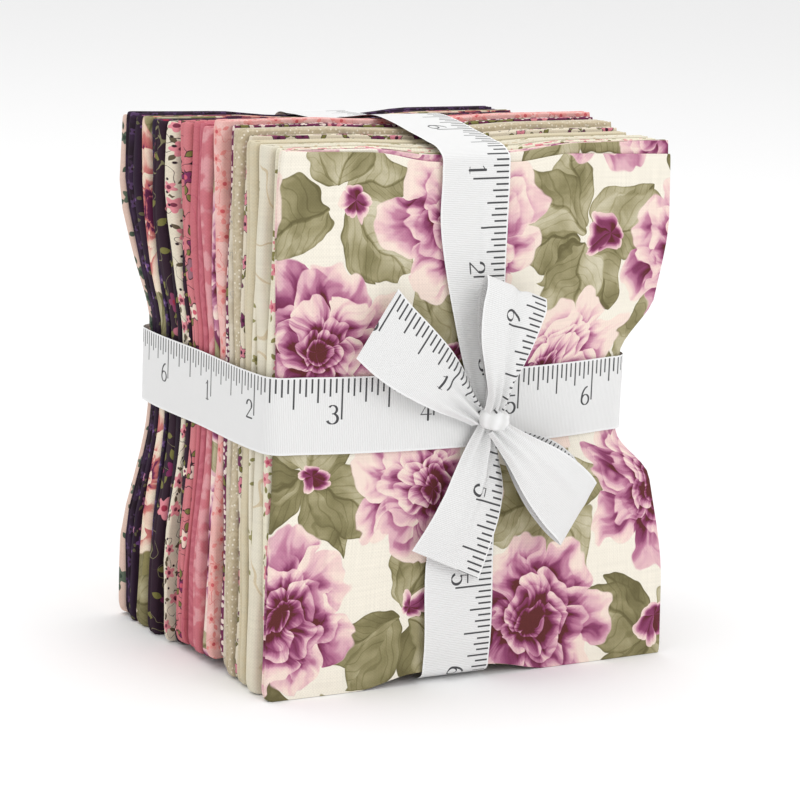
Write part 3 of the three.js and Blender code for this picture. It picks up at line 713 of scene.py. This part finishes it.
for number, (slot, ground, layers) in enumerate(PRINTS, 1):
    def print_layers(x, y, colour):
        for effect, *settings in layers:
            colour = EFFECTS[effect](x + 37 * number, y + 11 * number, colour, *settings)
        return colour
    cloth = cotton(f"cotton {number:02d}", ground, print_layers)
    folded_packet(number, cloth, slot, FRONT_STATIONS if number == COUNT else STATIONS)

# ---------------------------------------------------------------------------------------------------------
# The ribbon: one length of 20 mm white ribbed tape, printed on one side as a ruler in inches. It goes round
# the waist, then over head and foot, and is tied in a bow on the front.
INCH = 25.4
RIBBON_OFF = 0.7  # off the cloth
# Ticks: how many sixteenths of an inch apart, and what each kind adds to the length.
TICKS = ((1, 3.7), (2, 0.9), (4, 1.6), (8, 1.6), (16, 2.8))


@motif("stroke", ("x", "y", "from x", "from y", "to x", "to y", "half thick"), ("ink",))
def stroke(x, y, x0, y0, x1, y1, half):
    """A straight line with round ends."""
    run, climb = x1 - x0, y1 - y0
    share = ((x - x0) * run + (y - y0) * climb) / (run * run + climb * climb)
    share = work("MINIMUM", either(share, 0.0), 1.0)
    away = polar(x - x0 - share * run, y - y0 - share * climb)[0]
    return (step(away, half * 1.15 + 0.03, half * 1.15 - 0.03),)


@motif("curl", ("x", "y", "middle x", "middle y", "wide", "tall", "start", "turn", "half thick"),
       ("ink",))
def curl(x, y, middle_x, middle_y, wide, tall, start, turn, half):
    """Part of an oval, thick at its sides and thin at its top and foot."""
    radius, angle = polar((x - middle_x) / wide, (y - middle_y) / tall)
    swell = half * (0.42 + 0.78 * abs(work("COSINE", angle)))
    gone = rest_of((angle - start) / (2 * math.pi)) * (2 * math.pi)
    return (step(abs(radius - 1) * wide, swell + 0.03, swell - 0.03) * work("LESS_THAN", gone, turn),)


# Numerals in a box 2.5 wide and 4.4 high: strokes as two ends and half a thickness, and curls as a middle,
# half sizes, where they start, how far they turn in degrees and half a thickness. The box is stretched by
# NUMERAL_WIDE and NUMERAL_TALL, and stands so far before its inch tick and so far below the tape's edge.
NUMERAL_WIDE, NUMERAL_TALL, NUMERAL_BEFORE, NUMERAL_FOOT = 1.25, 1.12, 3.8, 12.1
NUMERALS = {
    1: (((1.3, 0, 1.3, 4.3, 0.24), (0.55, 3.55, 1.3, 4.25, 0.09), (0.6, 0.06, 2.0, 0.06, 0.07)), ()),
    2: (((2.05, 2.55, 0.2, 0.3, 0.14), (0.15, 0.18, 2.3, 0.18, 0.17)),
        ((1.15, 3.15, 0.98, 1.1, -30, 215, 0.24),)),
    3: ((), ((1.1, 3.3, 0.88, 0.98, -95, 240, 0.22), (1.08, 1.2, 1.12, 1.18, -160, 255, 0.25))),
    4: (((1.75, 0, 1.75, 4.3, 0.22), (1.75, 4.3, 0.1, 1.3, 0.08), (0.1, 1.3, 2.5, 1.3, 0.1)), ()),
    5: (((0.5, 4.2, 2.1, 4.2, 0.16), (0.5, 4.2, 0.42, 2.3, 0.08)),
        ((1.12, 1.3, 1.12, 1.3, -160, 290, 0.25),)),
    6: ((), ((1.2, 1.2, 1.05, 1.2, -180, 360, 0.22), (2.0, 1.3, 1.85, 3.0, 95, 90, 0.2))),
}


@motif("ruler", ("along", "below"), ("ink",))
def ruler(along, below):
    """Ticks from an edge at every sixteenth of an inch, and numerals 1 to 6 in turn, left of each inch."""
    nearest = floor_of(along / INCH * 16 + 0.5)
    off_tick = abs(along - nearest * (INCH / 16))
    length = 0.4
    for every, added in TICKS:
        length = length + added * work("LESS_THAN", rest_of((nearest + 0.1) / every), 0.2 / every)
    tick = step(off_tick, 0.28, 0.2) * step(below, 0.36, 0.44) * step(below - length, 0.04, -0.04)
    inch = floor_of(along / INCH) + 1
    numeral = rest_of((inch - 1) / 6) * 6 + 1
    x = (along - inch * INCH + NUMERAL_BEFORE) / NUMERAL_WIDE
    y = (NUMERAL_FOOT - below) / NUMERAL_TALL
    ink_here = tick
    for value, (strokes, curls) in NUMERALS.items():
        lines = [stroke(x, y, *ends)[0] for ends in strokes]
        for *oval, start, turn, half in curls:
            lines.append(curl(x, y, *oval, math.radians(start), math.radians(turn), half)[0])
        shape = lines[0]
        for line in lines[1:]:
            shape = either(shape, line)
        ink_here = either(ink_here, shape * work("COMPARE", numeral, float(value), 0.4))
    return (ink_here,)


def ribbon_tape():
    """White tape, ribbed across, with smooth selvedges and the ruler on its face alone."""
    paint = bpy.data.materials.new("white ruler tape")
    paint.use_nodes = True
    Field.tree = paint.node_tree
    along, below, _ = parts_of(Field(fed("UVMap", (), uv_map="cloth").outputs[0]))
    printed = ruler(along, below)[0] * (1 - Field(fed("NewGeometry", ()).outputs["Backfacing"]))
    rib_pitch, selvedge = 0.48, (9.3, 9.6)
    rib = work("SINE", along * (2 * math.pi / rib_pitch))
    # Painted shade: each rib is coloured a little darker in its trough than on its crown, as the ribs' own
    # shade; the smooth selvedges are left plain white, without it.
    white = between(rib * 0.5 + 0.5, ink(224, 224, 223), ink(238, 238, 238))
    white = between(step(abs(below - RIBBON_WIDTH / 2), *selvedge), white, ink(240, 240, 240))
    bump = fed("Bump", {"Strength": 0.4, "Distance": 0.00012, "Height": rib})
    tape = paint.node_tree.nodes["Principled BSDF"]
    tape.inputs["Roughness"].default_value = 0.6
    tape.inputs["Specular IOR Level"].default_value = 0.3
    colour = between(0.95 * printed, white, ink(40, 40, 44))
    paint.node_tree.links.new(colour.socket, tape.inputs["Base Color"])
    paint.node_tree.links.new(bump.outputs[0], tape.inputs["Normal"])
    return paint


ruler_tape = ribbon_tape()


def smooth_route(rows, steps, endless=False):
    """Rows of numbers along a smooth curve through the given rows, whose first three are a place."""
    rows = np.array(rows, float)
    if endless:
        rows = np.concatenate((rows[-1:], rows, rows[:2]))
    else:
        rows = np.concatenate((2 * rows[:1] - rows[1:2], rows, 2 * rows[-1:] - rows[-2:-1]))
    gaps = np.linalg.norm(np.diff(rows[:, :3], axis=0), axis=1)[:, None]
    slopes = np.diff(rows, axis=0) / gaps
    slopes = (slopes[:-1] * gaps[1:] + slopes[1:] * gaps[:-1]) / (gaps[:-1] + gaps[1:])
    t = (np.arange(steps) / steps)[None, :, None]
    a, b, h = rows[1:-2, None], rows[2:-1, None], gaps[1:-1, None]
    m, n = slopes[:-1, None] * h, slopes[1:, None] * h
    curve = ((2 * t ** 3 - 3 * t ** 2 + 1) * a + (t ** 3 - 2 * t ** 2 + t) * m
             + (3 * t ** 2 - 2 * t ** 3) * b + (t ** 3 - t ** 2) * n)
    return np.concatenate((curve.reshape(-1, rows.shape[1]), rows[-2:-1]))


def ribbon_sheet(name, node, route, inch, reverse=False, inside=False, across=16, gathers=None):
    """A length of ribbon. A row of its route is its middle, the way across it, its width and its cup. inch is
    the ruler's place at its start, reverse runs the ruler backwards and inside prints its inner side."""
    at, side, width, cup = route[:, :3], route[:, 3:6], route[:, 6:7], route[:, 7:8]
    out = np.cross(np.gradient(at, axis=0), side)
    out /= np.linalg.norm(out, axis=1)[:, None]
    u = np.linspace(-1, 1, across + 1)[None, :]
    along = np.concatenate(([0], np.cumsum(np.linalg.norm(np.diff(at, axis=0), axis=1))))[:, None]
    rise = cup * (1 - u * u)
    if gathers:
        rise = rise + gathers(along, along[-1] - along, u)
    points = at[:, None] + side[:, None] * (u * width / 2)[..., None] + out[:, None] * rise[..., None]
    tape = RIBBON_WIDTH * (1 - u) / 2
    turned = reverse != inside
    flat = np.stack(np.broadcast_arrays(inch * INCH + (-along if reverse else along),
                                        RIBBON_WIDTH - tape if turned else tape), -1)
    piece = cloth_sheet(name, points, flat, flip=inside)
    piece.data.materials.append(ruler_tape)
    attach(piece, "root")
    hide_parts(node)


def waist_route():
    """Round the waist from the middle of the rear, by the folds, the front and the loose ends: x and y."""
    left, corner_round = FOLD_DRAW - PACKET_WIDTH / 2, 5

    def face_y(x):
        return STACK_DEPTH / 2 - FACE_DRAW * (2 * x / PACKET_WIDTH) ** 2

    def corner(x, outward, rearward, angles):
        middle, reach = x - outward * corner_round, corner_round + RIBBON_OFF
        for angle in np.radians(angles):
            yield (middle + outward * reach * math.cos(angle),
                   rearward * (face_y(middle) - corner_round + reach * math.sin(angle)))

    def side(x, outward, shares):
        reach = face_y(x - outward * corner_round) - corner_round
        for share in shares:
            yield x + outward * RIBBON_OFF, blend_to(-reach, reach, share)

    across = np.linspace(left + corner_round, WAIST_RIGHT - corner_round, 9)
    yield from ((x, face_y(x) + RIBBON_OFF) for x in across[4::-1])
    yield from corner(left, -1, 1, (75, 60, 45, 30, 15))
    yield from side(left, -1, (1, 0.5, 0))
    yield from corner(left, -1, -1, (15, 30, 45, 60, 75))
    yield from ((x, -face_y(x) - RIBBON_OFF) for x in across)
    yield from corner(WAIST_RIGHT, 1, -1, (75, 60, 45, 30, 15))
    yield from side(WAIST_RIGHT, 1, (0, 0.5, 1))
    yield from corner(WAIST_RIGHT, 1, 1, (15, 30, 45, 60, 75))
    yield from ((x, face_y(x) + RIBBON_OFF) for x in across[:4:-1])


waist_rows = [(x, y, WAIST_Z, 0, 0, 1, RIBBON_WIDTH, 0) for x, y in waist_route()]
ribbon_sheet("level_run", "ribbon_waist", smooth_route(waist_rows, 8, endless=True), -2.91)

# Up the front from the knot, over the head, down the rear, under the foot and back: x, y, z and width.
UPRIGHT = (
    (2.4, -49.4, 73.0, 5.5), (1.4, -48.9, 85.0, 11.5), (0.4, -47.9, 97.0, 15), (-0.8, -47.4, 108.0, 17.5),
    (-2.0, -47.4, 122.0, 20), (-2.0, -47.4, 135.0, 20), (-2.0, -47.0, 138.6, 20), (-2.0, -45.0, 140.2, 20),
    (-2.0, -38.0, 141.8, 20), (-2.0, -30.0, 143.0, 20), (-2.0, -21.0, 144.4, 20), (-2.0, -10.0, 145.2, 20),
    (-2.0, 0.0, 143.8, 20), (-2.0, 10.0, 142.2, 20), (-2.0, 20.0, 140.9, 20), (-2.0, 38.0, 140.3, 20),
    (-2.0, 45.0, 139.7, 20), (-2.0, 47.0, 138.3, 20),
    (-2.0, 47.4, 135.0, 20), (-2.0, 47.4, 97.0, 20), (-2.0, 48.6, 86.0, 20), (-2.0, 48.6, 60.0, 20),
    (-2.0, 47.4, 49.0, 20), (-2.0, 47.4, 5.5, 20), (-2.0, 46.9, 2.6, 20), (-2.0, 45.0, 1.3, 20),
    (-2.0, 38.0, 0.9, 20), (-2.0, -38.0, 0.9, 20), (-2.0, -45.0, 1.3, 20), (-2.0, -46.9, 2.6, 20),
    (-2.0, -47.4, 5.5, 20), (-2.0, -47.4, 36.0, 20), (-1.4, -47.6, 45.0, 18.5), (0.6, -48.9, 54.5, 14),
    (2.2, -49.4, 66.5, 5.5),
)


def upright_gathers(gone, left, u):
    """Pleats that run out from the knot, and one long soft crease down the front."""
    near_knot = 1 - soft_step(np.minimum(gone, left), 4, 30)
    crease = 0.45 * np.exp(-((u + 0.28) / 0.1) ** 2) * soft_step(gone, 10, 24) * (1 - soft_step(gone, 48, 62))
    return 0.35 * near_knot * np.cos(2.5 * math.pi * u) + crease


upright_rows = [(x, y, z, -1, 0, 0, width, 0) for x, y, z, width in UPRIGHT]
ribbon_sheet("upright_run", "ribbon_upright", smooth_route(upright_rows, 8), 3.37, reverse=True, across=24,
             gathers=upright_gathers)

# The bow: two open loops and two cut ends of the same ribbon. Each arm leaves the knot at a heading, in
# degrees from +X towards +Z. After it come the ruler's place, whether it runs backwards and whether the inner
# side is printed. A row gives the distance from where the arms meet, the height over the face, the width, a
# shift to the left, a turn of the edge in degrees and the cup.
ARMS_MEET_X, ARMS_MEET_Z, BOW_FACE_Y = 2.2, 69.6, -48.1
ARMS = {
    "tail_upper": (140.5, 1.55, True, False, (
        (2.4, 2.4, 5, 0.2, 0, 0.6), (7, 2.2, 8, 0, 0, 0.8), (13, 2.8, 12, 0, 0, 0.8),
        (21, 3.2, 16, 0, 2, 0.6), (30, 2.9, 18.8, 0.2, 4, 0.2), (38, 2.2, 20, 0, 6, 0),
        (43, 1.6, 20.6, -0.6, 6, 0))),
    "tail_lower": (-107.6, 4.25, False, False, (
        (0.5, 2.4, 5, 1.0, 0, 0.6), (8, 2.2, 11, 2.2, 0, 0.8), (14, 2.7, 15.5, 3.0, -1, 0.9),
        (21, 2.8, 18, 3.2, -2, 0.9), (29, 2.6, 20, 2.6, -4, 0.5), (38.2, 1.8, 22.5, 1.6, -7, 0.2))),
    "loop_upper": (79.7, 7.0, True, False, (
        (2.4, 5.0, 5, 0, 0, 0.5), (8, 7.4, 6.2, 1.0, 0, 1.2), (14, 8.8, 10.2, 2.2, -2, 1.2),
        (21, 9.0, 15.2, 2.9, -5, 0.9), (29, 8.0, 18.6, 2.1, -8, 0.4), (34.5, 6.6, 19.5, 1.0, -11, 0),
        (36.4, 5.0, 19.5, 0.8, -11, 0), (34.8, 3.6, 19.5, 0.8, -11, 0), (27, 3.1, 17, 1.2, -8, 0),
        (17, 3.9, 11, 1.4, -4, 0), (9, 4.5, 6, 0.7, 0, 0), (3, 4.2, 4.5, 0, 0, 0))),
    "loop_lower": (-42, 2.4, True, True, (
        (1.0, 5.0, 5, 0.5, 0, 0.5), (9, 8.0, 9.5, 0, 0, 1.2), (20, 9.0, 16, -0.4, 3, 1.0),
        (29, 8.0, 18.6, -0.4, 6, 0.4), (36.4, 6.4, 19, -0.4, 9, 0), (38.4, 4.8, 19, -0.4, 9, 0),
        (36.8, 3.4, 19, -0.4, 9, 0), (28, 2.9, 19.6, 0.5, 7, 0), (18, 3.8, 16, 0.8, 4, 0),
        (9, 4.5, 9.5, 0.5, 0, 0), (3, 4.2, 5, 0, 0, 0))),
}
# One long crease in each arm: its place across, its rise and the share of the arm at which it has faded.
CREASES = {"tail_upper": (0.4, -0.8, 0.4), "tail_lower": (-0.05, 1.5, 1.1),
           "loop_upper": (-0.15, -1.4, 0.75), "loop_lower": (0.35, 0.9, 0.6)}


def arm_route(heading, rows):
    """An arm's rows turned into a route in the bundle's own frame."""
    rows = [(along, over, shift, width, math.radians(turn), cup)
            for along, over, width, shift, turn, cup in rows]
    along, over, shift, width, turn, cup = smooth_route(rows, 8).T
    forward, left_hand = ((math.cos(a), math.sin(a)) for a in map(math.radians, (heading, heading + 90)))
    x = ARMS_MEET_X + forward[0] * along + left_hand[0] * shift
    z = ARMS_MEET_Z + forward[1] * along + left_hand[1] * shift
    side_x = left_hand[0] * np.cos(turn) - left_hand[1] * np.sin(turn)
    side_z = left_hand[1] * np.cos(turn) + left_hand[0] * np.sin(turn)
    return np.stack((x, BOW_FACE_Y - over, z, side_x, 0 * x, side_z, width, cup), 1)


for name, (heading, inch, reverse, inside, rows) in ARMS.items():
    def arm_gathers(gone, left, u):
        place, rise, fade = CREASES[name]
        near_knot = 1 - soft_step(np.minimum(gone, left) if "loop" in name else gone, 2, 22)
        reach = fade * (gone + left)
        ridge = rise * np.exp(-((u - place) / 0.16) ** 2) * (1 - soft_step(gone, 0.4 * reach, reach))
        return 0.9 * near_knot * np.cos(3 * math.pi * u + place) + ridge * soft_step(gone, 0, 6)
    ribbon_sheet("bow_" + name, "ribbon_" + name, arm_route(heading, rows), inch, reverse, inside,
                 across=24, gathers=arm_gathers)

# ---------------------------------------------------------------------------------------------------------
# The knot: the same ribbon, drawn tight round itself where its runs cross. It leans a little, and is gathered
# into a few small pleats.
KNOT_AT, KNOT_HALF, KNOT_LEAN = (3.5, -52.3, 71.0), (4.2, 3.4, 2.9), math.radians(14)
pole, around = np.linspace(0, math.pi, 41)[:, None], np.linspace(0, 2 * math.pi, 61)[None, :]
levels = np.cos(pole) + 0 * around
pleats = 1 + 0.035 * np.cos((7 + 3 * np.cos(around)) * levels + np.cos(around)) * np.sin(pole)
girth = np.sin(pole) ** 0.6 * pleats
across, deep, high = (KNOT_HALF[0] * girth * np.cos(around), KNOT_HALF[1] * girth * np.sin(around),
                      KNOT_HALF[2] * np.sign(levels) * abs(levels) ** 0.8)
points = np.stack((across * math.cos(KNOT_LEAN) + high * math.sin(KNOT_LEAN), deep,
                   high * math.cos(KNOT_LEAN) - across * math.sin(KNOT_LEAN)), -1) + KNOT_AT
flat = np.stack(np.broadcast_arrays(0.2 * INCH + 0.6 * around, 14 + levels), -1)
knot = cloth_sheet("bow_knot", points, flat, flip=True)
knot.data.materials.append(ruler_tape)
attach(knot, "root")
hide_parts("ribbon_knot")
